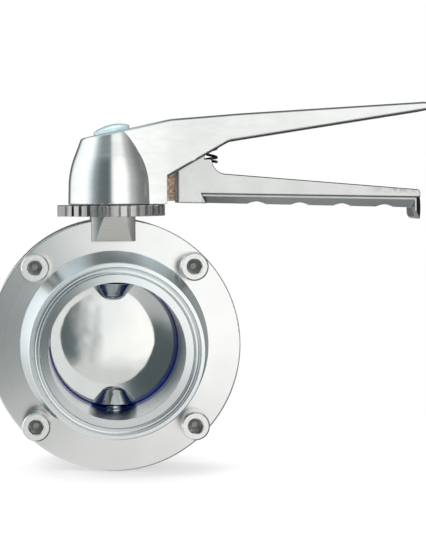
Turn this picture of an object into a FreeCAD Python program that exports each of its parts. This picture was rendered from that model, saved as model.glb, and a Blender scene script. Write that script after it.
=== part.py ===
import FreeCAD, Part

import math
import os

# Sanitary butterfly valve, 2.5 inch clamp ends, with a squeeze-trigger handle.
# Millimetres. The origin is the centre of the disc: X runs along the closed handle,
# Y is the pipe's axis with the front end at -Y, and Z runs up the stem.

V = FreeCAD.Vector
Y_AXIS = V(0, 1, 0)
Z_AXIS = V(0, 0, 1)

# Body halves
BORE_R = 30.1
FLANGE_R = 57.5
FLANGE_T = 12.0
FACE_Y = 39.0
FERRULE_R = 38.75
FERRULE_RIM = 2.85
FERRULE_TAPER = math.tan(math.radians(20))
NECK_R = 33.6
CONE_BASE_R = 42.8
CONE_TOP_R = 36.6
CONE_TOP_Y = 21.0
GROOVE_R = 35.25
GROOVE_HALF = 1.65
GROOVE_DEPTH = 1.5
FLANGE_EDGE = 0.7

# Body screws, M8, on the corners of a square
SCREW_AT = 35.8
SCREW_R = 4.0
SCREW_LENGTH = 25.0
HEAD_R = 6.4
HEAD_H = 8.0
SOCKET_AF = 6.0
WASHER_R = 6.35
WASHER_T = 2.0
WASHER_GAP = 1.6
CLEARANCE_HOLE_R = 4.5
TAPPED_HOLE_R = 4.04

# Stem boss on top of the body
BOSS_HALF_X = 10.0
BOSS_R = 16.7
BOSS_CORNER = 1.0
BOSS_BOTTOM_Z = 47.2
BOSS_TOP_Z = 58.4
BOSS_TURNED_Y = (14.5, 16.4)
SPIGOT_HALF = 8.0
SPIGOT_TOP_Z = 63.2
STEM_CLEARANCE_R = 6.4

# Seat
SEAT_HALF = 8.95
SEAT_R = 37.2
SEAT_POCKET_R = 37.3
SEAT_POCKET_HALF = 9.0
SEAT_CROWN_R = 29.62
SEAT_CROWN_HALF = 3.5

# Disc and stem
DISC_R = 29.5
DISC_HALF_T = 5.6
DISC_EDGE_HALF_T = 3.4
DISC_HUB_TIP = (3.4, 19.4)
DISC_HUB_BULGE = ((5.8, 20.5), (7.3, 22.3))
DISC_HUB_RIM = (11.0, 27.8)
STEM_ROOT_Z = 25.0
STEM_R = 6.0
STEM_BOTTOM_Z = -45.5
STEM_TOP_Z = 85.6
DRIVE_Z = 63.7
DRIVE_AF = 9.4
DRIVE_CLEARANCE = 0.05
BUSHING_R = 8.0
BUSHING_BORE_R = 6.05
BUSHING_POCKET_R = 8.03
UPPER_BUSHING_Z = (38.0, 57.0)
LOWER_BUSHING_Z = (-46.0, -38.0)

# Index plate
PLATE_R = 24.4
PLATE_Z = (58.5, 63.5)
SLOT_FLOOR_R = 21.2
SLOT_WIDTH = 1.7
LOCK_PITCH = 15
OPEN_ANGLE = 90
FINE_PITCH = 10.8
FINE_FRONT = (-139.6, 12)
FINE_REAR = (100.8, 4)
PLATE_TAB_X = -25.3
PLATE_TAB_HALF = 10.5

# Handle: the hub around the stem and the arm
HUB_BOTTOM_Z = 63.8
HUB_R = 20.3
HUB_FOOT_EDGE = 0.6
HUB_BARREL = (20.1, 73.0)
HUB_WAIST = (18.9, 81.3)
HUB_SHOULDER = (17.0, 87.0)
HUB_CROWN = (11.3, 102.0)
HUB_TOP_EDGE = 1.8
TOP_SLOPE = 0.2
TOP_Z = 97.1
ARM_HALF_ROOT = 12.1
ARM_HALF_TIP = 9.4
ARM_END_X = 145.0
ARM_TOP_X = 57.9
ARM_TOP_Z = 105.0
ARM_TIP_Z = (106.0, 109.9)
ARM_KNEE = (53.5, 92.2)
ARM_SHOULDER = (26.0, 102.6)
ARM_KNEE_R = 12.0
ARM_SHOULDER_R = 30.0
ARM_TIP_R = (1.3, 2.2)
ARM_EDGE = 1.4
ARM_WALL = 2.5
ARM_ROOF = 3.0
CHEEK_X = 24.7
CHEEK_TOP_Z = 76.0
CHEEK_R = 1.2
CHANNEL_END_X = 130.0
CHANNEL_ROOF_EDGE = 2.0
NOSE_SLOT_TOP_Z = 84.0
COUNTERBORE_R = 8.35
COUNTERBORE_Z = 86.0

# Handle screw, M6, and what sits under and over its head
HANDLE_SCREW_R = 3.0
HANDLE_SCREW_HOLE_R = 3.04
HANDLE_SCREW_LENGTH = 16.0
HANDLE_WASHER_R = 6.2
HANDLE_WASHER_T = 1.2
HANDLE_LOCK_R = 5.6
HANDLE_LOCK_T = 1.4
HANDLE_HEAD_R = 5.0
HANDLE_HEAD_H = 6.0
HANDLE_SOCKET_AF = 5.0
CAP_R = 8.25
CAP_WALL = 1.2
CAP_SKIRT_Z = 88.4
CAP_STAND = 1.7
CAP_RISE = 2.0

# Trigger, its pivot and its spring
PIVOT_X = 36.0
PIVOT_Z = 86.1
PIVOT_R = 2.5
PIVOT_CLEARANCE = 0.06
TRIGGER_HALF = 8.5
TRIGGER_HEAD_R = 6.2
TRIGGER_LEFT_X = PIVOT_X - TRIGGER_HEAD_R
TRIGGER_END_X = 141.8
TRIGGER_FOOT_Z = 64.3
TRIGGER_EDGE = 0.7
PLATE_END_STEP = 0.9
PLATE_CORNER = 1.6
PLATE_SEAT_Z = 84.5
PLATE_SEAT_X = (44.4, 45.6)
PLATE_NECK = ((45.6, 83.4), (47.7, 79.2), (51.5, 77.5))
PLATE_BACK_END_Z = 69.8
NOSE_HALF = 2.6
NOSE_CLEARANCE = 0.6
NOSE_Z = (65.2, 77.0, 80.5)
NOSE_TOP_X = 24.0
PAWL_HALF = 0.75
PAWL_X = (21.5, 24.2)
PAWL_BOTTOM_Z = 58.9
PAWL_CHAMFER = 0.5
LEDGE_START = (40.7, 68.45)
LEDGE_SLOPE = -0.0237
GRIP_HALF = 7.7
GRIP_BAND = 1.1
GRIP_FACET = 4.9
GRIP_BOTTOM = ((43.1, 64.15), (137.2, 61.4))
HOOK_BOTTOM_Z = 56.1
HOOK_FACET = (1.2, 4.2)
HOOK_CHAMFER = (2.6, 3.2)
HOOK_BOW = 0.4
HOOK_TAPER = (2.6, 3.7)
SCALLOP_X = (66.5, 86.6, 106.1, 125.9)
SCALLOP_HALF = 4.8
SCALLOP_DEPTH = 1.2
HOLLOW_HALF = 6.0
HOLLOW_FLOOR = ((58.0, 71.5), (61.0, 69.5), (131.0, 67.3), (134.0, 69.0))
SPRING_R = 2.7
SPRING_WIRE_R = 0.65
SPRING_X = 45.9
SPRING_SEAT_Z = 82.3
SPRING_TURNS = 5
SPRING_CLEARANCE = 0.1
SPRING_POCKET_GAP = 0.3


def outline(to_vector, points):
    """A flat face. A pair is a corner; a pair inside a list is the middle of an arc."""
    corners = []
    middles = {}
    for p in points:
        if isinstance(p, list):
            middles[len(corners) - 1] = to_vector(*p[0])
        else:
            corners.append(to_vector(*p))
    edges = []
    for i, start in enumerate(corners):
        end = corners[(i + 1) % len(corners)]
        if i in middles:
            edges.append(Part.Arc(start, middles[i], end).toShape())
        else:
            edges.append(Part.makeLine(start, end))
    return Part.Face(Part.Wire(edges))


def turned_about_y(points):
    """Points are (radius, y)."""
    return outline(lambda r, y: V(r, y, 0), points).revolve(V(), Y_AXIS, 360)


def turned_about_z(points):
    """Points are (radius, z)."""
    return outline(lambda r, z: V(r, 0, z), points).revolve(V(), Z_AXIS, 360)


def side_slab(points, half_width):
    """Points are (x, z); the slab is centred on Y=0."""
    face = outline(lambda x, z: V(x, -half_width, z), points)
    return face.extrude(V(0, 2 * half_width, 0))


def plan_slab(points, bottom, top):
    """Points are (x, y)."""
    face = outline(lambda x, y: V(x, y, bottom), points)
    return face.extrude(V(0, 0, top - bottom))


def box(x, y, z):
    """Each argument is a (low, high) pair."""
    return Part.makeBox(x[1] - x[0], y[1] - y[0], z[1] - z[0], V(x[0], y[0], z[0]))


def rod(radius, start, end):
    along = end - start
    return Part.makeCylinder(radius, along.Length, start, along)


def tube(outer, inner, start, end):
    return rod(outer, start, end).cut(rod(inner, start, end))


def hexagon(across_flats, depth, base, along):
    """A hexagonal prism that starts at base and runs the given depth."""
    r = across_flats / math.sqrt(3)
    turns = [math.radians(60 * i) for i in range(7)]
    corners = [V(r * math.cos(a), r * math.sin(a), 0) for a in turns]
    prism = Part.Face(Part.makePolygon(corners)).extrude(V(0, 0, depth))
    prism.Placement = FreeCAD.Placement(base, FreeCAD.Rotation(Z_AXIS, along))
    return prism


def cap_screw(radius, length, head_r, head_h, socket_af, seat, along):
    """A socket head cap screw. seat is the point under its head, along points to its tip.

    The socket's floor is coned by the pilot drill and has a small flat in the middle.
    """
    rim_chamfer = 0.1 * head_r
    tip_chamfer = 0.2 * radius
    socket_depth = 0.5 * head_h
    top = seat - along * head_h
    tip = seat + along * length
    head = Part.makeCone(head_r - rim_chamfer, head_r, rim_chamfer, top, along)
    head = head.fuse(rod(head_r, top + along * rim_chamfer, seat))
    shank = rod(radius, seat, tip - along * tip_chamfer)
    point = Part.makeCone(radius, radius - tip_chamfer, tip_chamfer,
                          tip - along * tip_chamfer, along)
    socket = hexagon(socket_af, socket_depth, top, along)
    mouth = Part.makeCone(0.61 * socket_af, 0.49 * socket_af, 0.1 * socket_af, top, along)
    pilot = Part.makeCone(0.49 * socket_af, 0.23 * socket_af, 0.2 * socket_af,
                          top + along * socket_depth, along)
    screw = head.fuse(shank).fuse(point)
    return screw.cut(socket).cut(mouth).cut(pilot).removeSplitter()


def lock_washer(outer, inner, thickness, gap, seat, along):
    """A split spring washer that lies on seat."""
    ring = tube(outer, inner, seat, seat + along * thickness)
    slit = Part.makeBox(outer, gap, 3 * thickness, V(0, -gap / 2, -1.5 * thickness))
    slit.rotate(V(), V(1, 0, 0), 25)
    slit.Placement = FreeCAD.Placement(
        seat + along * (thickness / 2), FreeCAD.Rotation(Z_AXIS, along)
    ).multiply(slit.Placement)
    return ring.cut(slit)


def screw_corners():
    return [(x, z) for x in (-SCREW_AT, SCREW_AT) for z in (-SCREW_AT, SCREW_AT)]


def square_bar(across_flats, radius, bottom, top):
    """A round bar of this radius, milled to a square across its flats."""
    half = across_flats / 2
    square = box((-half, half), (-half, half), (bottom, top))
    return square.common(rod(radius, V(0, 0, bottom), V(0, 0, top)))


def body_shell():
    """The turned shape of the front half, solid outside the bore and the seat's pocket."""
    rim_back = FACE_Y - FERRULE_RIM
    taper_end = rim_back - (FERRULE_R - NECK_R) * FERRULE_TAPER
    return turned_about_y([
        (SEAT_POCKET_R, 0),
        (SEAT_POCKET_R, -SEAT_POCKET_HALF),
        (BORE_R, -SEAT_POCKET_HALF),
        (BORE_R, -FACE_Y),
        (GROOVE_R - GROOVE_HALF, -FACE_Y),
        [(GROOVE_R, -FACE_Y + GROOVE_DEPTH)],
        (GROOVE_R + GROOVE_HALF, -FACE_Y),
        (FERRULE_R - 0.3, -FACE_Y),
        (FERRULE_R, -FACE_Y + 0.3),
        (FERRULE_R, -rim_back),
        (NECK_R, -taper_end),
        (NECK_R, -CONE_TOP_Y - 2.2),
        [(NECK_R + 0.7, -CONE_TOP_Y - 0.7)],
        (NECK_R + 2.2, -CONE_TOP_Y),
        (CONE_TOP_R, -CONE_TOP_Y),
        (CONE_BASE_R - 0.4, -FLANGE_T - 0.5),
        [(CONE_BASE_R - 0.12, -FLANGE_T - 0.12)],
        (CONE_BASE_R, -FLANGE_T),
        (FLANGE_R - FLANGE_EDGE, -FLANGE_T),
        [(FLANGE_R - 0.29 * FLANGE_EDGE, -FLANGE_T + 0.29 * FLANGE_EDGE)],
        (FLANGE_R, -FLANGE_T + FLANGE_EDGE),
        (FLANGE_R, 0),
    ])


def stem_boss():
    """Front half of the boss: a round with flat sides, its face turned with the flange."""
    x = BOSS_HALF_X
    low, high = BOSS_TURNED_Y
    blank = rod(BOSS_R, V(0, 0, BOSS_BOTTOM_Z), V(0, 0, BOSS_TOP_Z))
    blank = blank.common(box((-x, x), (-BOSS_R, 0), (BOSS_BOTTOM_Z, BOSS_TOP_Z)))
    upright = [
        e for e in blank.Edges
        if e.BoundBox.ZLength > 5 and e.CenterOfMass.y < -1 and abs(e.CenterOfMass.x) > x - 1
    ]
    blank = blank.makeFillet(BOSS_CORNER, upright)
    turned = turned_about_y([
        (0, 0), (0, -low), (BOSS_BOTTOM_Z, -low), (BOSS_TOP_Z + 2, -high), (BOSS_TOP_Z + 2, 0),
    ])
    spigot = box((-SPIGOT_HALF, SPIGOT_HALF), (-SPIGOT_HALF, 0),
                 (BOSS_TOP_Z, SPIGOT_TOP_Z))
    return blank.common(turned).fuse(spigot)


def half_body(screw_hole_r):
    """The front half. The rear half is its mirror with a different screw hole."""
    seat_side = SEAT_POCKET_R - 0.6
    body = body_shell().fuse(stem_boss())
    body = body.cut(rod(BUSHING_POCKET_R, V(0, 0, seat_side),
                        V(0, 0, UPPER_BUSHING_Z[1] + 0.05)))
    body = body.cut(rod(STEM_CLEARANCE_R, V(0, 0, seat_side), V(0, 0, SPIGOT_TOP_Z + 1)))
    body = body.cut(rod(BUSHING_POCKET_R, V(0, 0, -seat_side),
                        V(0, 0, LOWER_BUSHING_Z[0] - 0.05)))
    for x, z in screw_corners():
        body = body.cut(rod(screw_hole_r, V(x, -FLANGE_T - 1, z), V(x, 1, z)))
    return body.removeSplitter()


def front_body():
    return half_body(CLEARANCE_HOLE_R)


def rear_body():
    return half_body(TAPPED_HOLE_R).mirror(V(), Y_AXIS)


def seat_ring():
    lip_r = BORE_R
    ring = turned_about_y([
        (lip_r, -SEAT_HALF), (SEAT_R, -SEAT_HALF), (SEAT_R, SEAT_HALF), (lip_r, SEAT_HALF),
        (lip_r - 0.1, SEAT_HALF - 0.8),
        (SEAT_CROWN_R, SEAT_CROWN_HALF), (SEAT_CROWN_R, -SEAT_CROWN_HALF),
        (lip_r - 0.1, -SEAT_HALF + 0.8),
    ])
    stem_hole = rod(STEM_R + 0.05, V(0, 0, -SEAT_R - 1), V(0, 0, SEAT_R + 1))
    return ring.cut(stem_hole).removeSplitter()


def disc_and_stem():
    """A shallow lens whose rim is part of a sphere, with flared hubs where the stem leaves it."""
    rise = DISC_HALF_T - DISC_EDGE_HALF_T
    dome_r = (DISC_R ** 2 + rise ** 2) / (2 * rise)
    centre = dome_r - DISC_HALF_T
    disc = Part.makeSphere(dome_r, V(0, centre, 0)).common(
        Part.makeSphere(dome_r, V(0, -centre, 0))
    ).common(Part.makeSphere(DISC_R))
    flare = turned_about_z([
        (0, DISC_HUB_TIP[1]), DISC_HUB_TIP, [DISC_HUB_BULGE[0]], DISC_HUB_BULGE[1], DISC_HUB_RIM,
        (DISC_HUB_RIM[0], DISC_R), (0, DISC_R),
    ]).common(Part.makeSphere(DISC_R))
    disc = disc.fuse(flare).fuse(flare.mirror(V(), Z_AXIS))
    stem = rod(STEM_R, V(0, 0, STEM_ROOT_Z), V(0, 0, DRIVE_Z))
    trunnion = rod(STEM_R, V(0, 0, STEM_BOTTOM_Z), V(0, 0, -STEM_ROOT_Z))
    drive = square_bar(DRIVE_AF, STEM_R, DRIVE_Z, STEM_TOP_Z)
    tapped = rod(HANDLE_SCREW_HOLE_R, V(0, 0, STEM_TOP_Z - HANDLE_SCREW_LENGTH),
                 V(0, 0, STEM_TOP_Z + 1))
    return disc.fuse(stem).fuse(trunnion).fuse(drive).cut(tapped).removeSplitter()


def bushing(span):
    return tube(BUSHING_R, BUSHING_BORE_R, V(0, 0, span[0]), V(0, 0, span[1]))


def body_screws():
    under_head = -FLANGE_T - WASHER_T
    return Part.makeCompound([
        cap_screw(SCREW_R, SCREW_LENGTH, HEAD_R, HEAD_H, SOCKET_AF,
                  V(x, under_head, z), Y_AXIS)
        for x, z in screw_corners()
    ])


def lock_washers():
    return Part.makeCompound([
        lock_washer(WASHER_R, SCREW_R + 0.15, WASHER_T, WASHER_GAP,
                    V(x, -FLANGE_T, z), -Y_AXIS)
        for x, z in screw_corners()
    ])


def slot_angles():
    """Locking slots over the working quarter, finer slots round the rest of the rim."""
    angles = list(range(0, OPEN_ANGLE + 1, LOCK_PITCH))
    for first, count in (FINE_FRONT, FINE_REAR):
        angles += [first + FINE_PITCH * i for i in range(count)]
    return angles


def index_plate():
    bottom, top = PLATE_Z
    plate = rod(PLATE_R, V(0, 0, bottom), V(0, 0, top))
    tab = box((PLATE_TAB_X, 0), (-PLATE_TAB_HALF, PLATE_TAB_HALF), PLATE_Z)
    plate = plate.fuse(tab).removeSplitter()
    edges = [e for e in plate.Edges if abs(e.CenterOfMass.z - top) < 1e-6]
    plate = plate.makeChamfer(0.3, edges)
    for angle in slot_angles():
        slot = box((SLOT_FLOOR_R, PLATE_R + 1), (-SLOT_WIDTH / 2, SLOT_WIDTH / 2),
                   (bottom - 1, top + 1))
        slot.rotate(V(), Z_AXIS, angle)
        plate = plate.cut(slot)
    half = SPIGOT_HALF + 0.05
    return plate.cut(box((-half, half), (-half, half), (bottom - 1, top + 1)))


def hub():
    """Waisted hub with a flat top that rises towards the arm."""
    edge = HUB_FOOT_EDGE
    shape = turned_about_z([
        (0, HUB_BOTTOM_Z),
        (HUB_R - edge, HUB_BOTTOM_Z),
        [(HUB_R - 0.3 * edge, HUB_BOTTOM_Z + 0.3 * edge)],
        (HUB_R, HUB_BOTTOM_Z + edge),
        HUB_BARREL,
        [HUB_WAIST],
        HUB_SHOULDER,
        HUB_CROWN,
        (0, HUB_CROWN[1]),
    ])
    far = 40.0
    above = side_slab([
        (-far, TOP_Z - far * TOP_SLOPE), (far, TOP_Z + far * TOP_SLOPE),
        (far, TOP_Z + far), (-far, TOP_Z + far),
    ], far)
    shape = shape.cut(above)
    rim = [e for e in shape.Edges if e.Length > 60 and e.CenterOfMass.z > 90]
    return shape.makeFillet(HUB_TOP_EDGE, rim)


def round_corner(shape, x, z, radius):
    """Round the edge that crosses the side outline at this corner."""
    slack = 0.3
    crossing = [
        e for e in shape.Edges
        if e.BoundBox.YLength > 5
        and abs(e.BoundBox.XMin - x) + abs(e.BoundBox.XMax - x) < slack
        and abs(e.BoundBox.ZMin - z) + abs(e.BoundBox.ZMax - z) < slack
    ]
    return shape.makeFillet(radius, crossing)


def arm_sides(inset, start_x, end_x):
    """The block between the arm's two sides, which close in towards its tip."""
    slope = (ARM_HALF_TIP - ARM_HALF_ROOT) / ARM_END_X
    near = ARM_HALF_ROOT + slope * start_x - inset
    far = ARM_HALF_ROOT + slope * end_x - inset
    return plan_slab([(start_x, -near), (end_x, -far), (end_x, far), (start_x, near)],
                     0, 2 * TOP_Z)


def arm():
    """The lever outside its hollow: a side outline between tapering sides, with soft edges."""
    tip_low, tip_high = ARM_TIP_Z
    side = side_slab([
        (0, HUB_BOTTOM_Z), (CHEEK_X, HUB_BOTTOM_Z), (CHEEK_X, CHEEK_TOP_Z), ARM_KNEE,
        (ARM_END_X, tip_low), (ARM_END_X, tip_high), (ARM_TOP_X, ARM_TOP_Z), ARM_SHOULDER,
        (HUB_CROWN[0], TOP_Z + HUB_CROWN[0] * TOP_SLOPE), (0, TOP_Z),
    ], 2 * ARM_HALF_ROOT)
    shape = side.common(arm_sides(0, 0, ARM_END_X))
    shape = round_corner(shape, *ARM_KNEE, ARM_KNEE_R)
    shape = round_corner(shape, *ARM_SHOULDER, ARM_SHOULDER_R)
    shape = round_corner(shape, ARM_END_X, tip_low, ARM_TIP_R[0])
    shape = round_corner(shape, ARM_END_X, tip_high, ARM_TIP_R[1])
    shape = round_corner(shape, CHEEK_X, HUB_BOTTOM_Z, CHEEK_R)
    lengthwise = [
        e for e in shape.Edges
        if e.BoundBox.YLength < 4 and e.BoundBox.XMax > 1
        and (e.BoundBox.XMax > CHEEK_X + 1 or e.BoundBox.ZMin > CHEEK_TOP_Z)
    ]
    return shape.makeFillet(ARM_EDGE, lengthwise)


def arm_roof_z(x):
    """Height of the hollow's roof."""
    slope = (ARM_TIP_Z[1] - ARM_TOP_Z) / (ARM_END_X - ARM_TOP_X)
    return ARM_TOP_Z + (x - ARM_TOP_X) * slope - ARM_ROOF


def arm_channel():
    """The hollow under the arm that takes the trigger's head and lightens the casting."""
    left = TRIGGER_LEFT_X - 0.9
    right = CHANNEL_END_X
    soft = CHANNEL_ROOF_EDGE
    profile = side_slab([
        (left, 60), (left, arm_roof_z(left) - soft),
        [(left + 0.3 * soft, arm_roof_z(left) - 0.3 * soft)],
        (left + soft, arm_roof_z(left + soft)), (right, arm_roof_z(right)), (right, 60),
    ], 2 * ARM_HALF_ROOT)
    return profile.common(arm_sides(ARM_WALL, left, right))


def nose_slot():
    """The narrow slot between the cheeks of the hub, for the trigger's nose."""
    left = PAWL_X[0] - 1.0
    right = TRIGGER_LEFT_X
    half = NOSE_HALF + NOSE_CLEARANCE
    return box((left, right), (-half, half), (HUB_BOTTOM_Z - 1, NOSE_SLOT_TOP_Z))


def handle():
    casting = hub().fuse(arm())
    casting = casting.cut(arm_channel()).cut(nose_slot())
    casting = casting.cut(square_bar(DRIVE_AF + 2 * DRIVE_CLEARANCE,
                                     STEM_R + DRIVE_CLEARANCE,
                                     HUB_BOTTOM_Z - 1, COUNTERBORE_Z + 1))
    casting = casting.cut(rod(COUNTERBORE_R, V(0, 0, COUNTERBORE_Z), V(0, 0, 110)))
    casting = casting.cut(rod(PIVOT_R, V(PIVOT_X, -20, PIVOT_Z), V(PIVOT_X, 20, PIVOT_Z)))
    return casting.removeSplitter()


def handle_washer():
    bottom = COUNTERBORE_Z
    return tube(HANDLE_WASHER_R, HANDLE_SCREW_R + 0.2, V(0, 0, bottom),
                V(0, 0, bottom + HANDLE_WASHER_T))


def handle_lock_washer():
    seat = V(0, 0, COUNTERBORE_Z + HANDLE_WASHER_T)
    return lock_washer(HANDLE_LOCK_R, HANDLE_SCREW_R + 0.1, HANDLE_LOCK_T, 1.2, seat, Z_AXIS)


def handle_screw():
    seat = V(0, 0, COUNTERBORE_Z + HANDLE_WASHER_T + HANDLE_LOCK_T)
    return cap_screw(HANDLE_SCREW_R, HANDLE_SCREW_LENGTH, HANDLE_HEAD_R, HANDLE_HEAD_H,
                     HANDLE_SOCKET_AF, seat, -Z_AXIS)


def handle_cap():
    """A plug whose domed top follows the slope of the hub's top."""
    dome_edge_z = TOP_Z + CAP_STAND
    crown_z = dome_edge_z + CAP_RISE
    blank = turned_about_z([
        (0, CAP_SKIRT_Z), (CAP_R, CAP_SKIRT_Z), (CAP_R, dome_edge_z),
        [(0.62 * CAP_R, dome_edge_z + 0.66 * CAP_RISE)], (0, crown_z),
    ])
    blank = shear_like_top(blank, dome_edge_z)
    inside = rod(CAP_R - CAP_WALL, V(0, 0, CAP_SKIRT_Z - 1), V(0, 0, dome_edge_z - 2.2))
    return blank.cut(inside)


def shear_like_top(shape, level):
    """Lean the part of a turned shape above this level to follow the hub's top."""
    matrix = FreeCAD.Matrix()
    matrix.A31 = TOP_SLOPE
    low = shape.common(box((-20, 20), (-20, 20), (0, level - 3)))
    high = shape.common(box((-20, 20), (-20, 20), (level - 5, 2 * level)))
    return low.fuse(high.transformGeometry(matrix)).removeSplitter()


def ledge_z(x):
    """Height of the ledge between the trigger's side plates and its grip."""
    return LEDGE_START[1] + (x - LEDGE_START[0]) * LEDGE_SLOPE


def trigger_plate():
    """Outer block of the trigger above the ledge, with its outline edges broken."""
    left = TRIGGER_LEFT_X
    right = TRIGGER_END_X - PLATE_END_STEP
    r = TRIGGER_HEAD_R
    c = PLATE_CORNER
    foot = TRIGGER_FOOT_Z
    back = PLATE_BACK_END_Z
    seat = PLATE_SEAT_Z
    seat_x, neck_x = PLATE_SEAT_X
    neck_top, neck_middle, neck_end = PLATE_NECK
    block = side_slab([
        (left, foot), (GRIP_BOTTOM[0][0], foot - 0.35), LEDGE_START, (right, ledge_z(right)),
        (right, back - c), [(right - 0.3 * c, back - 0.3 * c)], (right - c, back),
        neck_end, [neck_middle], neck_top, [(neck_x - 0.4, seat - 0.3)], (seat_x, seat),
        (PIVOT_X + r, seat), (PIVOT_X + r, PIVOT_Z), [(PIVOT_X, PIVOT_Z + r)],
        (left, PIVOT_Z),
    ], TRIGGER_HALF)
    rim = [e for e in block.Edges if e.BoundBox.YLength < 0.01]
    return block.makeFillet(TRIGGER_EDGE, rim)


def grip():
    """The finger grip below the ledge. Its moulding runs along it and down the hook."""
    start = LEDGE_START[0] - 0.5
    right = TRIGGER_END_X
    step = right - HOOK_BOW
    (grip_x, grip_z), (hook_x, hook_z) = GRIP_BOTTOM
    low = HOOK_BOTTOM_Z
    lid = 1.5
    side = side_slab([
        (start, ledge_z(start) + lid), (start, grip_z + 0.4), (grip_x, grip_z),
        (hook_x, hook_z), [(hook_x + 0.35, hook_z - 0.2)], (hook_x + 0.5, hook_z - 0.8),
        (hook_x + 1.1, low + 2.0), [(hook_x + 1.5, low + 0.7)], (hook_x + 2.4, low + 0.15),
        (step - 0.5, low), [(step - 0.15, low + 0.3)], (step, low + 1.0),
        [(right, (low + ledge_z(right)) / 2)], (step, ledge_z(right)),
        (step, ledge_z(right) + lid),
    ], GRIP_HALF)
    return side.common(grip_rail().fuse(hook_post()))


def grip_rail():
    """What bounds the grip along its length: upright under the ledge, then a facet."""
    h = GRIP_HALF
    facet = GRIP_FACET
    band = ledge_z(0) - GRIP_BAND
    section = outline(lambda y, z: V(0, y, z), [
        (-h, band + facet), (-h, band), (-h + facet, band - facet),
        (h - facet, band - facet), (h, band), (h, band + facet),
    ])
    length = TRIGGER_END_X - HOOK_CHAMFER[0] - 0.4
    return section.extrude(V(length, 0, length * LEDGE_SLOPE))


def hook_post():
    """What bounds the hook: a facet towards the fingers and a wide chamfer at its end."""
    h = GRIP_HALF
    left = GRIP_BOTTOM[1][0]
    right = TRIGGER_END_X
    top = LEDGE_START[1] + 1
    low = HOOK_BOTTOM_Z
    near = [
        (left, -h + HOOK_FACET[1]), (left + HOOK_FACET[0], -h),
        (right - HOOK_CHAMFER[0], -h), (right, -h + HOOK_CHAMFER[1]),
    ]
    section = plan_slab(near + [(x, -y) for x, y in reversed(near)], low, top)
    inset, rise = HOOK_TAPER
    taper = outline(lambda y, z: V(left, y, z), [
        (-h, top), (-h, low + rise), (-h + inset, low), (h - inset, low), (h, low + rise),
        (h, top),
    ])
    return section.common(taper.extrude(V(right - left, 0, 0)))


def scallop(x):
    """A shallow finger notch across the underside of the grip."""
    (x0, z0), (x1, z1) = GRIP_BOTTOM
    z = z0 + (x - x0) * (z1 - z0) / (x1 - x0)
    below = z - 2
    return side_slab([
        (x - SCALLOP_HALF, z), [(x, z + SCALLOP_DEPTH)], (x + SCALLOP_HALF, z),
        (x + SCALLOP_HALF, below), (x - SCALLOP_HALF, below),
    ], 2 * TRIGGER_HALF)


def trigger_nose():
    """The narrow nose that carries the pawl, which drops into a slot of the index plate."""
    left, right = PAWL_X
    foot, shoulder, top = NOSE_Z
    upper = side_slab([
        (PIVOT_X, top), (NOSE_TOP_X, top), (left, shoulder), (left, foot), (PIVOT_X, foot),
    ], NOSE_HALF)
    c = PAWL_CHAMFER
    low = PAWL_BOTTOM_Z
    pawl = side_slab([
        (left, foot + 1), (left, low + c), (left + c, low), (right - c, low),
        (right, low + c), (right, foot + 1),
    ], PAWL_HALF)
    return upper.fuse(pawl)


def trigger_hollow():
    """The trough in the top of the grip, closed at both ends."""
    (left, left_z), (floor_x, floor_z), far_floor, (right, right_z) = HOLLOW_FLOOR
    open_z = 90.0
    return side_slab([
        (left, open_z), (left, left_z), [(left + 0.9, floor_z + 0.5)], (floor_x, floor_z),
        far_floor, (right, right_z), (right, open_z),
    ], HOLLOW_HALF)


def trigger():
    shape = trigger_plate().fuse(grip())
    shape = shape.cut(trigger_hollow())
    for x in SCALLOP_X:
        shape = shape.cut(scallop(x))
    shape = shape.fuse(trigger_nose())
    shape = shape.cut(rod(PIVOT_R + PIVOT_CLEARANCE, V(PIVOT_X, -20, PIVOT_Z),
                          V(PIVOT_X, 20, PIVOT_Z)))
    pocket_r = SPRING_R + SPRING_WIRE_R + SPRING_POCKET_GAP
    pocket = rod(pocket_r, V(SPRING_X, 0, SPRING_SEAT_Z), V(SPRING_X, 0, 100))
    return shape.cut(pocket).removeSplitter()


def pivot_pin():
    """A plain pin, ground flush with the arm's sides."""
    reach = 2 * ARM_HALF_ROOT
    pin = rod(PIVOT_R, V(PIVOT_X, -reach, PIVOT_Z), V(PIVOT_X, reach, PIVOT_Z))
    return pin.common(arm_sides(0, 0, ARM_END_X))


def return_spring():
    """Compression coil between the trigger's pocket and the roof of the arm."""
    gap = SPRING_WIRE_R + SPRING_CLEARANCE
    reach = SPRING_R + SPRING_WIRE_R
    height = arm_roof_z(SPRING_X - reach) - SPRING_SEAT_Z - 2 * gap
    coil = Part.makeHelix(height / SPRING_TURNS, height, SPRING_R)
    section = Part.Wire(Part.makeCircle(SPRING_WIRE_R, V(SPRING_R, 0, 0), Y_AXIS))
    spring = Part.Wire(coil).makePipeShell([section], True, True)
    spring.translate(V(SPRING_X, 0, SPRING_SEAT_Z + gap))
    return spring


def save(name, shape):
    shape.exportStep(os.path.join("parts", name + ".step"))


def main():
    os.makedirs("parts", exist_ok=True)
    save("front_body", front_body())
    save("rear_body", rear_body())
    save("seat_ring", seat_ring())
    save("disc_and_stem", disc_and_stem())
    save("upper_bushing", bushing(UPPER_BUSHING_Z))
    save("lower_bushing", bushing(LOWER_BUSHING_Z))
    save("body_screws", body_screws())
    save("lock_washers", lock_washers())
    save("index_plate", index_plate())
    save("handle", handle())
    save("handle_washer", handle_washer())
    save("handle_lock_washer", handle_lock_washer())
    save("handle_screw", handle_screw())
    save("handle_cap", handle_cap())
    save("trigger", trigger())
    save("pivot_pin", pivot_pin())
    save("return_spring", return_spring())


main()
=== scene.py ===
import math

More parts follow.
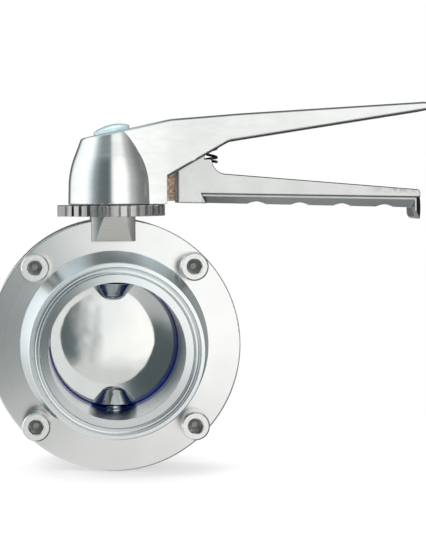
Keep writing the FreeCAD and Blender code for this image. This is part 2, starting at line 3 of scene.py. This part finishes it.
import bpy
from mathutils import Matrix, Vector


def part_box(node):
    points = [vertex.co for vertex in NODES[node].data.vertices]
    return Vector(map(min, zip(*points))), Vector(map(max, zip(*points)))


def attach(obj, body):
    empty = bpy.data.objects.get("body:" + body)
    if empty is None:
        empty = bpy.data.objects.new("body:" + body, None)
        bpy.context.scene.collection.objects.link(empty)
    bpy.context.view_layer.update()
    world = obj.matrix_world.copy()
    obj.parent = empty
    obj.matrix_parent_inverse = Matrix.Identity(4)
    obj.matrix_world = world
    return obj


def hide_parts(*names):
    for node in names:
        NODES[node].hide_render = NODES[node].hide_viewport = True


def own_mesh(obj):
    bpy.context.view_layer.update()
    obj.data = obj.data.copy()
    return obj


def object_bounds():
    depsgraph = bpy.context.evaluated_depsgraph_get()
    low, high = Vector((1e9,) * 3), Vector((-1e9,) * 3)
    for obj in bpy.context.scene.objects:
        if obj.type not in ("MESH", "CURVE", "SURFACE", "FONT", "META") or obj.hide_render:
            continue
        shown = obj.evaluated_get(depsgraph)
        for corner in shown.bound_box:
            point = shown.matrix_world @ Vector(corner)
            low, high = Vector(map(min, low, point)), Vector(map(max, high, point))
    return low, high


# A sanitary butterfly valve. Every CAD node gets a node-based finish and, except for the coil
# spring, keeps its shape.
# Metres, in the row frame: X along the closed handle, Y along the pipe, Z up the stem.

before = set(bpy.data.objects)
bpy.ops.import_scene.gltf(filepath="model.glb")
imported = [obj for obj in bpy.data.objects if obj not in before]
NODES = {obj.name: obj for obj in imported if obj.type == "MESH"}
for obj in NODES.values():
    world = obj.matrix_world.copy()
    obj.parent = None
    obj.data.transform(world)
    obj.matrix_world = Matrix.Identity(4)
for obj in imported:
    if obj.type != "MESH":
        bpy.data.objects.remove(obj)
MM = 0.001
cad_low, cad_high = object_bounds()

# Colours of the steels, before their texture is laid over them
PIPE_STEEL = (0.66, 0.69, 0.70)
CONE_STEEL = (0.86, 0.90, 0.91)
FLANGE_STEEL = (0.74, 0.745, 0.74)
BOSS_STEEL = (0.46, 0.46, 0.445)
CAST_STEEL = (0.745, 0.755, 0.75)
TRIGGER_ROOT_STEEL = (0.78, 0.785, 0.78)
TRIGGER_STEEL = (0.73, 0.735, 0.73)
# Darker steel for the trigger's grip below its ledge, as painted shade
SHADED_GRIP_STEEL = (0.60, 0.63, 0.635)
# Painted dark reflection on the grip's end chamfers
GRIP_END_PAINTED_REFLECTION = (0.02, 0.022, 0.04)
GRIP_STAIN = (0.33, 0.31, 0.29)
NOSE_LIGHT = (0.62, 0.50, 0.40)
NOSE_RUST = (0.22, 0.13, 0.09)
PLATE_STEEL = (0.45, 0.45, 0.44)
MIRROR_DARK = (0.64, 0.655, 0.65)
MIRROR_LIGHT = (0.70, 0.70, 0.68)
SCREW_DARK = (0.64, 0.64, 0.62)
SCREW_LIGHT = (0.74, 0.74, 0.73)
# Painted shade inside the screw sockets
SOCKET_PAINTED_SHADE = (0.50, 0.505, 0.50)
SOCKET_MIDDLE_PAINTED_SHADE = (0.40, 0.405, 0.40)
WIRE_DARK = (0.03, 0.031, 0.034)
WIRE_LIGHT = (0.09, 0.09, 0.09)

# A noise texture's usual range
NOISE_RANGE = (0.3, 0.7)

# How a face must point, from where a finish or its painted shade starts to where it is full
FRONT_FACING = (-0.97, -0.99)
UP_FACING = (0.2, 0.6)
ARM_SHADE_DOWN_FACING = (-0.2, -0.6)
TRIGGER_SHADE_DOWN_FACING = (-0.35, -0.6)
FINGER_FACING = (-0.5, -0.8)
END_FACING = (0.3, 0.5)
CHAMFER_FACING = (0.2, 0.4)
# The same for the painted shade on a broken edge: how far its normal agrees with the face
EDGE_AGREES = (0.72, 0.985)

# Where the finishes and the painted light and shade change, in millimetres in the row frame
CONE_TOP_R = 36.5
CONE_FOOT_R = 43.1
BOSS_FOOT_Z = 47.1
BOSS_HALF_X = 10.2
BOSS_INNER_Y = 12.3
HUB_TO_ARM_X = (8.0, 34.0)
HUB_TO_ARM_ROUGH_X = (10.0, 38.0)
PIN_FLUSH_R = 4.2
LEDGE_Z = 69.4
LEDGE_SLOPE = -0.0237
LEDGE_START_X = 40.6
LEDGE_SHADE_OFF = (0.25, 0.6)
TRIGGER_ROOT_X = (50.0, 105.0)
STAIN_X = (112.0, 132.0)
STAIN_Z = (67.2, 70.5)
NOSE_END_X = 29.6
NOSE_HALF = 2.95
PLATE_PAINTED_LIGHT_X = (-5.0, 20.0)
SCREW_HEAD_R = 6.4
SOCKET_R = 3.6
SOCKET_MIDDLE_R = 1.425
SOCKET_DEPTH = (0.15, 0.5)

# How far the turned faces and the disc lean from flat, as a slope
FLANGE_DISH = 0.062
FERRULE_DISH = 0.125
DISC_LEAN = 0.034
DISC_LEAN_X = (5.0, 17.0)

# Return spring
SPRING_WIRE_R = 0.65 * MM
SPRING_TURNS = 5
SPRING_CLOSING = 2.1 * MM
SPRING_STEPS = 32

# What the metal sees at eye level, by compass angle: 0 is towards the camera, + towards +X.
TENT = (
    # degrees, brightness as a share of TENT_POWER, colour cast
    (-180, 0.07, (1.00, 1.00, 1.00)),
    (-152, 0.07, (1.00, 1.00, 1.00)),
    (-138, 0.75, (0.96, 0.99, 1.00)),
    (-82, 0.95, (0.96, 0.99, 1.00)),
    (-66, 0.72, (0.90, 0.98, 1.00)),
    (-52, 0.30, (0.84, 0.97, 1.00)),
    (-36, 0.14, (0.80, 0.97, 1.00)),
    (-14, 0.10, (0.80, 0.97, 1.00)),
    (-6, 0.13, (0.78, 0.96, 1.00)),
    (-0.5, 0.80, (0.98, 1.00, 0.99)),
    (12, 0.88, (1.00, 1.00, 0.98)),
    (34, 0.90, (1.00, 1.00, 0.97)),
    (50, 0.40, (1.00, 1.00, 0.98)),
    (74, 0.18, (0.97, 1.00, 1.00)),
    (104, 0.11, (0.97, 1.00, 1.00)),
    (125, 0.15, (0.97, 1.00, 1.00)),
    (152, 0.07, (1.00, 1.00, 1.00)),
    (180, 0.07, (1.00, 1.00, 1.00)),
)
TENT_POWER = 1.6

# What it sees above and below the tent, in degrees of height, and to the right of a compass angle
ABOVE = (0.58, 0.66, 0.70)
ABOVE_FROM = (32, 62)
BELOW = (0.90, 0.90, 0.88)
BELOW_FROM = (-9, -16)
BELOW_RIGHT = (0.16, 0.17, 0.18)
BELOW_RIGHT_FROM = (14, 26)
STAGE_WHITE = (1.0, 1.0, 1.0)

# Floor, in metres: its half width, its gap under the flange and where its shading fades out
FLOOR_HALF = 6.0
FLOOR_GAP = 0.4 * MM
FLOOR_GREY = (0.95, 0.95, 0.95)
SHADING_FADE = (0.02, 0.26)

# Lights: name, place, size, power
LIGHTS = (
    ("key", (-0.7, -0.9, 1.1), 0.7, 9.0),
    ("fill", (1.0, -0.8, 0.4), 0.6, 4.0),
    ("top", (0.1, 0.3, 1.3), 0.9, 7.0),
)
LIT_POINT = (0.03, 0.0, 0.02)

# Camera
STATION = Vector((-29.93 * MM, -674.0 * MM, 72.44 * MM))
SENSOR = 36.0
LENS = 98.2
ROLL = math.radians(0.45)
LENS_SHIFT = (("shift_x", 0.3107), ("shift_y", -0.1507))
STATION_REACH = 1 * MM
CLIP = (0.05, 50.0)


# ---------------------------------------------------------------- node helpers

class Tree:
    """Short calls for building a shader tree."""

    def __init__(self, tree):
        self.tree = tree
        self.tree.nodes.clear()

    def add(self, kind, inputs=None, **settings):
        made = self.tree.nodes.new(kind)
        for name, value in settings.items():
            setattr(made, name, value)
        for name, value in (inputs or {}).items():
            self.put(made.inputs[name], value)
        return made

    def put(self, socket, value):
        if isinstance(value, bpy.types.NodeSocket):
            self.tree.links.new(value, socket)
        elif isinstance(value, tuple) and len(value) == 3 and socket.type == "RGBA":
            socket.default_value = (*value, 1)
        else:
            socket.default_value = value

    def calculate(self, kind, operation, values):
        made = self.add(kind, operation=operation)
        for socket, value in zip(made.inputs, values):
            self.put(socket, value)
        return made

    def math(self, operation, *values):
        return self.calculate("ShaderNodeMath", operation, values).outputs[0]

    def vector(self, operation, *values):
        made = self.calculate("ShaderNodeVectorMath", operation, values)
        scalar = operation in ("LENGTH", "DOT_PRODUCT")
        return made.outputs["Value" if scalar else "Vector"]

    def times(self, first, *others):
        """A product of numbers."""
        for value in others:
            first = self.math("MULTIPLY", first, value)
        return first

    def unless(self, mask):
        """The opposite of a mask."""
        return self.math("SUBTRACT", 1.0, mask)

    def absolute(self, value):
        return self.math("ABSOLUTE", value)

    def swing(self, texture, amount, base):
        """base, moved up and down by a texture that runs from 0 to 1."""
        return self.math("MULTIPLY_ADD", self.math("SUBTRACT", texture, 0.5), amount, base)

    def ramp(self, value, low, high, out_low=0.0, out_high=1.0, smooth=True):
        """value from low..high onto out_low..out_high, held at both ends."""
        return self.add("ShaderNodeMapRange", {
            "Value": value, "From Min": low, "From Max": high,
            "To Min": out_low, "To Max": out_high,
        }, interpolation_type="SMOOTHSTEP" if smooth else "LINEAR").outputs["Result"]

    def spread(self, texture, low, high):
        """The usual range of a noise texture, onto low..high."""
        return self.ramp(texture, *NOISE_RANGE, low, high)

    def past(self, value, limit, blur=0.1):
        """A mask of where value is over limit."""
        return self.ramp(value, limit - blur, limit + blur, smooth=False)

    def before(self, value, limit, blur=0.1):
        """A mask of where value is under limit."""
        return self.ramp(value, limit + blur, limit - blur, smooth=False)

    def pick(self, mask, off, on):
        """One number where the mask is off, another where it is on."""
        return self.ramp(mask, 0.0, 1.0, off, on)

    def only(self, mask, value):
        """value where the mask is on, and 1 where it is off."""
        return self.math("MULTIPLY_ADD", mask, self.math("SUBTRACT", value, 1.0), 1.0)

    def blend(self, data_type, factor, a, b):
        made = self.add("ShaderNodeMix", data_type=data_type)
        sockets = [s for s in made.inputs if s.enabled]
        for socket, value in zip(sockets, (factor, a, b)):
            self.put(socket, value)
        return next(s for s in made.outputs if s.enabled)

    def mix(self, factor, a, b):
        """Two colours."""
        return self.blend("RGBA", factor, a, b)

    def cloud(self, texture, a, b):
        """Two colours, mixed by a texture."""
        return self.mix(self.spread(texture, 0.0, 1.0), a, b)

    def shaded(self, colour, shade):
        """A colour, dimmed by a number."""
        return self.vector("MULTIPLY", colour, self.join(shade, shade, shade))

    def noise(self, at, scale, detail=3.0, roughness=0.55):
        return self.add("ShaderNodeTexNoise", {
            "Vector": at, "Scale": scale, "Detail": detail, "Roughness": roughness,
        }).outputs["Fac"]

    def stretch(self, at, x, y, z):
        return self.vector("MULTIPLY", at, (x, y, z))

    def split(self, at):
        made = self.add("ShaderNodeSeparateXYZ", {"Vector": at})
        return made.outputs[0], made.outputs[1], made.outputs[2]

    def join(self, x, y, z):
        return self.add("ShaderNodeCombineXYZ", {"X": x, "Y": y, "Z": z}).outputs[0]

    def turn(self, vector, kind, source, target):
        """A vector or a normal, from one space into another."""
        return self.add("ShaderNodeVectorTransform", {"Vector": vector}, vector_type=kind,
                        convert_from=source, convert_to=target).outputs[0]


def new_material(name):
    material = bpy.data.materials.new(name)
    material.use_nodes = True
    return material, Tree(material.node_tree)


def place(t):
    """The point in the row frame at rest, in millimetres."""
    at = t.add("ShaderNodeTexCoord").outputs["Object"]
    return t.stretch(at, 1 / MM, 1 / MM, 1 / MM)


def lathe_direction(t, at):
    """The direction a lathe's tool runs in, round the pipe's axis."""
    x, _, z = t.split(at)
    around = t.join(z, 0.0, t.times(x, -1.0))
    return t.turn(around, "VECTOR", "OBJECT", "WORLD")


def pipe_radius(t, at):
    x, _, z = t.split(at)
    return t.vector("LENGTH", t.join(x, 0.0, z))


def surface_normal(t):
    return t.add("ShaderNodeNewGeometry").outputs["Normal"]


def facing(t):
    """The surface's direction on the piece itself, as three numbers."""
    return t.split(t.turn(surface_normal(t), "NORMAL", "WORLD", "OBJECT"))


def finish_metal(t, colour, roughness, height, bump, edge, anisotropic=0.0,
                 tangent=None, outline=0.55, plain=None, lean=None):
    """A metal surface with a height map and softly broken edges, both in millimetres.

    outline is how much of the colour an edge keeps under its painted shade. plain marks where
    edges stay unbroken.
    lean is added to the normal.
    """
    face = surface_normal(t)
    normal = t.add("ShaderNodeBevel", {"Radius": edge * MM}, samples=8).outputs[0]
    if plain is not None:
        normal = t.blend("VECTOR", plain, normal, face)
    agrees = t.vector("DOT_PRODUCT", normal, face)
    # Painted shade: edges are darkened where the bevelled normal turns from the face.
    edge_shade = t.ramp(agrees, *EDGE_AGREES, outline, 1.0)
    if lean is not None:
        normal = t.vector("NORMALIZE", t.vector("ADD", normal, lean))
    normal = t.add("ShaderNodeBump", {
        "Strength": 1.0, "Distance": bump * MM, "Height": height, "Normal": normal,
    }).outputs[0]
    shader = t.add("ShaderNodeBsdfPrincipled", {
        "Base Color": t.shaded(colour, edge_shade), "Metallic": 1.0, "Roughness": roughness,
        "Normal": normal, "Anisotropic": anisotropic,
    })
    if tangent is not None:
        t.put(shader.inputs["Tangent"], tangent)
    t.add("ShaderNodeOutputMaterial", {"Surface": shader.outputs[0]})


# ---------------------------------------------------------------- finishes

def turned_steel():
    """Lathe-turned body: fine rings round the pipe's axis, and a brushed boss."""
    material, t = new_material("turned_steel")
    at = place(t)
    x, y, z = t.split(at)
    r = pipe_radius(t, at)
    _, face_y, _ = facing(t)

    on_boss = t.times(t.past(z, BOSS_FOOT_Z), t.before(t.absolute(x), BOSS_HALF_X),
                      t.past(t.absolute(y), BOSS_INNER_Y))
    past_cone = t.past(r, CONE_FOOT_R, 0.2)
    on_flange = t.times(past_cone, t.unless(on_boss))
    on_cone = t.times(t.past(r, CONE_TOP_R, 0.2), t.unless(past_cone))
    in_front = t.times(t.ramp(face_y, *FRONT_FACING), t.unless(on_boss))
    on_ferrule_face = t.times(in_front, t.unless(on_flange))

    rings = t.noise(t.join(t.times(r, 3.2), t.times(y, 3.2), 0.0), 1.0, detail=4.0, roughness=0.7)
    strokes = t.noise(t.stretch(at, 0.05, 2.0, 3.0), 1.0, detail=4.0)
    grain = t.mix(on_boss, rings, strokes)
    cloud = t.noise(at, 0.06, detail=2.0)
    shade = t.swing(grain, t.pick(on_boss, 0.06, 0.30), t.spread(cloud, 0.98, 1.02))
    shade = t.times(shade, t.pick(on_ferrule_face, 1.0, 0.96))

    tint = t.mix(on_boss, PIPE_STEEL, BOSS_STEEL)
    tint = t.mix(on_flange, tint, FLANGE_STEEL)
    tint = t.mix(on_cone, tint, CONE_STEEL)
    roughness = t.math("MULTIPLY_ADD", grain, 0.05, t.pick(on_cone, 0.20, 0.34))
    dish = t.math("DIVIDE", t.times(in_front, t.pick(on_flange, FERRULE_DISH, FLANGE_DISH)), r)
    lean = t.join(t.times(x, dish), 0.0, t.times(z, dish))
    finish_metal(t, t.shaded(tint, shade), roughness, grain, 0.003, 0.22, anisotropic=0.4,
                 tangent=lathe_direction(t, at), outline=0.4, lean=lean)
    return material


def satin_cast_steel():
    """Belt-ground and satin brushed casting of the handle, with its pin ground flush. On the arm,
    faces that point up or down carry painted shade.
    """
    material, t = new_material("satin_cast_steel")
    at = place(t)
    x, _, z = t.split(at)
    _, _, face_z = facing(t)

    strokes = t.noise(t.stretch(at, 0.6, 0.6, 3.2), 1.0, detail=4.0, roughness=0.65)
    patches = t.noise(t.stretch(at, 0.10, 0.10, 0.32), 1.0, detail=4.0, roughness=0.65)
    cloud = t.noise(at, 0.05, detail=2.0)
    shade = t.swing(strokes, 0.14, t.spread(cloud, 0.97, 1.02))
    shade = t.swing(patches, 0.22, shade)
    on_arm = t.ramp(x, *HUB_TO_ARM_X)
    # Painted shade: on the arm, faces that point up are darkened strongly and faces that point
    # down less.
    edges = t.times(t.ramp(face_z, *UP_FACING, 1.0, 0.26),
                    t.ramp(face_z, *ARM_SHADE_DOWN_FACING, 1.0, 0.4))
    shade = t.times(shade, t.only(on_arm, edges))

    low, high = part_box("pivot_pin")
    pin = (low + high) / 2 / MM
    off_pin = t.vector("LENGTH", t.join(t.math("SUBTRACT", x, pin.x), 0.0,
                                        t.math("SUBTRACT", z, pin.z)))
    plain = t.before(off_pin, PIN_FLUSH_R)
    roughness = t.ramp(x, *HUB_TO_ARM_ROUGH_X, 0.17, 0.33)
    finish_metal(t, t.shaded(CAST_STEEL, shade), roughness, strokes, 0.004, 0.6,
                 outline=0.35, plain=plain)
    return material


def blasted_steel():
    """Bead-blasted casting of the trigger, its nose stained brown. Painted shade darkens its
    up-facing edges, its ledge line, its finger grooves and its grip below the ledge; its end
    chamfers hold a painted reflection."""
    material, t = new_material("blasted_steel")
    at = place(t)
    x, y, z = t.split(at)
    face_x, face_y, face_z = facing(t)

    over_ledge = t.math("SUBTRACT", z, t.math("MULTIPLY_ADD", x, LEDGE_SLOPE, LEDGE_Z))
    has_ledge = t.past(x, LEDGE_START_X, 0.2)
    below = t.times(t.before(over_ledge, 0.0), has_ledge)
    # Painted shade: a dark line along the ledge.
    ledge_shade = t.ramp(t.absolute(over_ledge), *LEDGE_SHADE_OFF, 0.42, 1.0)
    # Painted shade: the sides of the finger grooves that face -X, under the ledge.
    shaded_finger_sides = t.times(below, t.ramp(face_x, *FINGER_FACING))
    # Painted reflection: the grip's end chamfers facing +X are painted near-black navy.
    reflecting_end = t.times(below, t.ramp(face_x, *END_FACING),
                         t.ramp(t.absolute(face_y), *CHAMFER_FACING))
    in_nose = t.times(t.before(x, NOSE_END_X), t.before(t.absolute(y), NOSE_HALF, 0.05))

    grit = t.noise(at, 1.9, detail=5.0, roughness=0.75)
    cloud = t.noise(at, 0.10, detail=3.0)
    shade = t.swing(grit, 0.16, t.spread(cloud, 0.95, 1.02))
    # Painted shade: faces that point up are darkened hard, faces that point down slightly.
    facet_shade = t.times(t.ramp(face_z, *TRIGGER_SHADE_DOWN_FACING, 1.0, 0.95),
                     t.ramp(face_z, *UP_FACING, 1.0, 0.08))
    shade = t.times(shade, t.only(has_ledge, ledge_shade), facet_shade, t.pick(shaded_finger_sides, 1.0, 0.45))
    tint = t.mix(t.ramp(x, *TRIGGER_ROOT_X), TRIGGER_ROOT_STEEL, TRIGGER_STEEL)
    # Painted shade: the grip below the ledge takes a darker steel.
    colour = t.shaded(t.mix(below, tint, SHADED_GRIP_STEEL), shade)
    colour = t.mix(reflecting_end, colour, GRIP_END_PAINTED_REFLECTION)

    smear = t.ramp(t.noise(at, 0.45, detail=4.0), 0.30, 0.58)
    stain = t.times(t.ramp(x, *STAIN_X), t.ramp(z, *STAIN_Z), smear)
    colour = t.mix(t.times(stain, 0.8), colour, GRIP_STAIN)
    flecks = t.ramp(t.noise(at, 1.1, detail=5.0, roughness=0.8), 0.38, 0.60)
    colour = t.mix(in_nose, colour, t.mix(flecks, NOSE_LIGHT, NOSE_RUST))
    roughness = t.spread(grit, 0.36, 0.48)
    finish_metal(t, colour, roughness, grit, 0.02, 0.35, outline=0.12)
    return material


def cut_plate_steel():
    """Index plate: flat faces, and notched edges with streaks down the cut. Painted light
    brightens it towards +X.
    """
    material, t = new_material("cut_plate_steel")
    at = place(t)
    x, _, _ = t.split(at)
    streaks = t.noise(t.stretch(at, 2.2, 2.2, 0.12), 1.0, detail=4.0, roughness=0.7)
    # Painted light: the plate grows brighter towards +X.
    shade = t.times(t.swing(streaks, 0.9, 0.95), t.ramp(x, *PLATE_PAINTED_LIGHT_X, 1.0, 1.7))
    roughness = t.spread(streaks, 0.22, 0.38)
    finish_metal(t, t.shaded(PLATE_STEEL, shade), roughness, streaks, 0.02, 0.15, outline=0.3)
    return material


def mirror_steel():
    """Hand-polished disc with a slight waviness, and a ground stem."""
    material, t = new_material("mirror_steel")
    at = place(t)
    x, _, _ = t.split(at)
    wave = t.noise(at, 0.07, detail=1.5)
    scratch = t.noise(t.stretch(at, 1.5, 1.5, 9.0), 1.0, detail=3.0)
    height = t.math("MULTIPLY_ADD", scratch, 0.004, wave)
    roughness = t.spread(scratch, 0.05, 0.09)
    lean = t.join(t.ramp(t.absolute(x), *DISC_LEAN_X, 0.0, DISC_LEAN), 0.0, 0.0)
    finish_metal(t, t.cloud(wave, MIRROR_DARK, MIRROR_LIGHT), roughness, height, 0.16, 0.3,
                 outline=0.6, lean=lean)
    return material


def fastener_steel():
    """Stainless screws and washers. The sockets of the four body screws carry painted shade."""
    material, t = new_material("fastener_steel")
    at = place(t)
    x, y, z = t.split(at)
    low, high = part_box("body_screws")
    head_y = low.y / MM
    axis_at = high.x / MM - SCREW_HEAD_R
    off_axis = t.vector("LENGTH", t.join(t.math("SUBTRACT", t.absolute(x), axis_at), 0.0,
                                         t.math("SUBTRACT", t.absolute(z), axis_at)))
    start, full = (head_y + depth for depth in SOCKET_DEPTH)
    inside = t.times(t.before(off_axis, SOCKET_R), t.ramp(y, start, full, smooth=False))
    middle = t.times(inside, t.before(off_axis, SOCKET_MIDDLE_R, 0.075))

    mottle = t.noise(at, 0.7, detail=3.0)
    colour = t.cloud(mottle, SCREW_DARK, SCREW_LIGHT)
    # Painted shade: the socket's walls and its middle are darkened.
    colour = t.mix(inside, colour, SOCKET_PAINTED_SHADE)
    colour = t.mix(middle, colour, SOCKET_MIDDLE_PAINTED_SHADE)
    roughness = t.math("MULTIPLY_ADD", inside, 0.3, t.spread(mottle, 0.20, 0.27))
    finish_metal(t, colour, roughness, mottle, 0.006, 0.22, outline=0.3)
    return material


def dark_wire():
    """Blackened spring wire with faint drawing marks."""
    material, t = new_material("dark_wire")
    drawn = t.noise(place(t), 1.8, detail=3.0)
    finish_metal(t, t.cloud(drawn, WIRE_DARK, WIRE_LIGHT), 0.34, drawn, 0.01, 0.05)
    return material


def soft_body(name, dark, light, scale, roughness, subsurface, depth, painted_rim_shade=None):
    """A polymer with a faint cloud in its colour. Its rim colour is painted shade, darkening it
    where it turns away.
    """
    material, t = new_material(name)
    at = place(t)
    colour = t.cloud(t.noise(at, scale, detail=3.0), dark, light)
    if painted_rim_shade is not None:
        # Painted shade where the surface turns away from the view.
        turned = t.add("ShaderNodeLayerWeight", {"Blend": 0.5}).outputs["Facing"]
        colour = t.mix(t.ramp(turned, 0.55, 0.95), colour, painted_rim_shade)
    normal = t.add("ShaderNodeBump", {
        "Distance": 0.01 * MM, "Height": t.noise(at, 2.0, detail=3.0)}).outputs[0]
    shader = t.add("ShaderNodeBsdfPrincipled", {
        "Base Color": colour, "Roughness": roughness, "Normal": normal,
        "Subsurface Weight": subsurface, "Subsurface Scale": depth * MM,
    })
    t.add("ShaderNodeOutputMaterial", {"Surface": shader.outputs[0]})
    return material


def blue_silicone():
    return soft_body("blue_silicone", dark=(0.008, 0.036, 0.27), light=(0.014, 0.062, 0.38),
                     scale=0.35, roughness=0.30, subsurface=0.1, depth=1.0)


def cap_plastic():
    return soft_body("cap_plastic", dark=(0.50, 0.66, 0.69), light=(0.58, 0.74, 0.77),
                     scale=0.4, roughness=0.32, subsurface=0.2, depth=2.0,
                     painted_rim_shade=(0.16, 0.22, 0.24))


def bearing_plastic():
    return soft_body("bearing_plastic", dark=(0.78, 0.77, 0.72), light=(0.86, 0.85, 0.80),
                     scale=0.8, roughness=0.42, subsurface=0.1, depth=1.0)


def dress(finish, *names):
    """Give these CAD nodes one finish."""
    for name in names:
        slots = NODES[name].data.materials
        slots.clear()
        slots.append(finish)


def dress_all():
    dress(turned_steel(), "front_body", "rear_body")
    dress(satin_cast_steel(), "handle", "pivot_pin")
    dress(blasted_steel(), "trigger")
    dress(cut_plate_steel(), "index_plate")
    dress(mirror_steel(), "disc_and_stem")
    dress(fastener_steel(), "body_screws", "lock_washers", "handle_screw",
          "handle_washer", "handle_lock_washer")
    dress(blue_silicone(), "seat_ring")
    dress(cap_plastic(), "handle_cap")
    dress(bearing_plastic(), "upper_bushing", "lower_bushing")


def link(made):
    bpy.context.scene.collection.objects.link(made)


# ---------------------------------------------------------------- the spring

def coil_points(centre, bottom, top, radius):
    """A helix whose first and last turns rise by SPRING_CLOSING only."""
    open_turns = SPRING_TURNS - 2
    pitch = (top - bottom - 2 * SPRING_CLOSING) / open_turns
    points = []
    for i in range(SPRING_TURNS * SPRING_STEPS + 1):
        turn = i / SPRING_STEPS
        closed = min(turn, 1.0) + max(turn - SPRING_TURNS + 1, 0.0)
        opened = min(max(turn - 1, 0.0), open_turns)
        angle = 2 * math.pi * turn
        points.append((
            centre.x + radius * math.cos(angle),
            centre.y + radius * math.sin(angle),
            bottom + closed * SPRING_CLOSING + opened * pitch,
        ))
    return points


def wire_mesh(points):
    """A round wire along the points, as a mesh."""
    curve = bpy.data.curves.new("spring_coil", "CURVE")
    curve.dimensions = "3D"
    curve.bevel_depth = SPRING_WIRE_R
    curve.bevel_resolution = 3
    curve.use_fill_caps = True
    line = curve.splines.new("POLY")
    line.points.add(len(points) - 1)
    for knot, point in zip(line.points, points):
        knot.co = (*point, 1)
    made = bpy.data.objects.new("spring_curve", curve)
    link(made)
    bpy.context.view_layer.update()
    graph = bpy.context.evaluated_depsgraph_get()
    mesh = bpy.data.meshes.new_from_object(made.evaluated_get(graph))
    bpy.data.objects.remove(made)
    mesh.shade_smooth()
    return mesh


def return_spring():
    """A coil with closed end turns, hung on the stem's body empty."""
    low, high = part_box("return_spring")
    centre = (low + high) / 2
    radius = (high.x - low.x) / 2 - SPRING_WIRE_R
    mesh = wire_mesh(coil_points(centre, low.z + SPRING_WIRE_R, high.z - SPRING_WIRE_R, radius))
    mesh.materials.clear()
    mesh.materials.append(dark_wire())
    spring = bpy.data.objects.new("spring_coil", mesh)
    link(spring)
    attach(spring, "stem")
    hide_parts("return_spring")
    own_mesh(spring)


# ---------------------------------------------------------------- stage, light and camera

def studio_world():
    """White to the eye and to soft light. The metal sees a light tent with a dark gap in it."""
    world = bpy.data.worlds.new("studio")
    bpy.context.scene.world = world
    world.use_nodes = True
    t = Tree(world.node_tree)
    ray = t.add("ShaderNodeTexCoord").outputs["Generated"]
    x, y, z = t.split(ray)
    compass = t.math("DEGREES", t.math("ARCTAN2", x, t.times(y, -1.0)))
    height = t.math("DEGREES", t.math("ARCSINE", z))
    tent = t.add("ShaderNodeValToRGB", {"Fac": t.math("MULTIPLY_ADD", compass, 1 / 360, 0.5)})
    stops = tent.color_ramp.elements
    while len(stops) < len(TENT):
        stops.new(0.5)
    for stop, (angle, share, cast) in zip(stops, TENT):
        stop.position = angle / 360 + 0.5
        stop.color = (*(share * c for c in cast), 1)
    level = t.vector("MULTIPLY", tent.outputs["Color"], (TENT_POWER,) * 3)
    ground = t.mix(t.ramp(compass, *BELOW_RIGHT_FROM), BELOW, BELOW_RIGHT)
    seen = t.mix(t.ramp(height, *BELOW_FROM), level, ground)
    seen = t.mix(t.ramp(height, *ABOVE_FROM), seen, ABOVE)
    path = t.add("ShaderNodeLightPath")
    colour = t.mix(path.outputs["Is Glossy Ray"], STAGE_WHITE, seen)
    back = t.add("ShaderNodeBackground", {"Color": colour, "Strength": 1.0})
    t.add("ShaderNodeOutputWorld", {"Surface": back.outputs[0]})


def pale_floor():
    """Half lit, half plain white near the valve, and plain white further off."""
    material, t = new_material("pale_floor")
    at = t.add("ShaderNodeTexCoord").outputs["Object"]
    away = t.vector("LENGTH", t.stretch(at, 1.0, 1.0, 0.0))
    shaded = t.add("ShaderNodeBsdfDiffuse", {"Color": FLOOR_GREY})
    plain = t.add("ShaderNodeEmission", {"Color": STAGE_WHITE})
    both = t.add("ShaderNodeMixShader", {
        0: t.ramp(away, *SHADING_FADE, 0.5, 1.0), 1: shaded.outputs[0], 2: plain.outputs[0]})
    t.add("ShaderNodeOutputMaterial", {"Surface": both.outputs[0]})
    return material


def floor():
    """A wide floor just under the flange, with a soft contact shadow."""
    z = cad_low.z - FLOOR_GAP
    half = FLOOR_HALF
    mesh = bpy.data.meshes.new("floor")
    mesh.from_pydata([(-half, -half, z), (half, -half, z), (half, half, z), (-half, half, z)],
                     [], [(0, 1, 2, 3)])
    mesh.materials.append(pale_floor())
    made = bpy.data.objects.new("floor", mesh)
    made.visible_glossy = False
    link(made)


def lights():
    """Large soft lamps that the metal doesn't mirror."""
    for name, at, size, power in LIGHTS:
        data = bpy.data.lights.new(name, "AREA")
        data.shape = "DISK"
        data.size = size
        data.energy = power
        lamp = bpy.data.objects.new(name, data)
        lamp.location = at
        ray = Vector(LIT_POINT) - Vector(at)
        lamp.rotation_euler = ray.to_track_quat("-Z", "Y").to_euler()
        lamp.visible_glossy = False
        link(lamp)


def camera():
    """Level camera in front of the valve. Its lens is shifted while it stands at its station,
    so that uprights stay upright; the shift is off wherever else the camera is moved."""
    data = bpy.data.cameras.new("camera")
    data.sensor_width = SENSOR
    data.lens = LENS
    data.clip_start, data.clip_end = CLIP
    made = bpy.data.objects.new("camera", data)
    made.location = STATION
    made.rotation_euler = (math.radians(90), ROLL, 0)
    link(made)
    mark = bpy.data.objects.new("camera_station", None)
    mark.location = STATION
    link(mark)
    for path, shift in LENS_SHIFT:
        driver = data.driver_add(path).driver
        away = driver.variables.new()
        away.name = "away"
        away.type = "LOC_DIFF"
        away.targets[0].id = made
        away.targets[1].id = mark
        driver.expression = f"{shift} if away < {STATION_REACH} else 0.0"
    bpy.context.scene.camera = made


def picture():
    view = bpy.context.scene.view_settings
    view.view_transform = "Standard"
    view.look = "None"
    view.exposure = 0.0


dress_all()
return_spring()
studio_world()
floor()
lights()
camera()
picture()
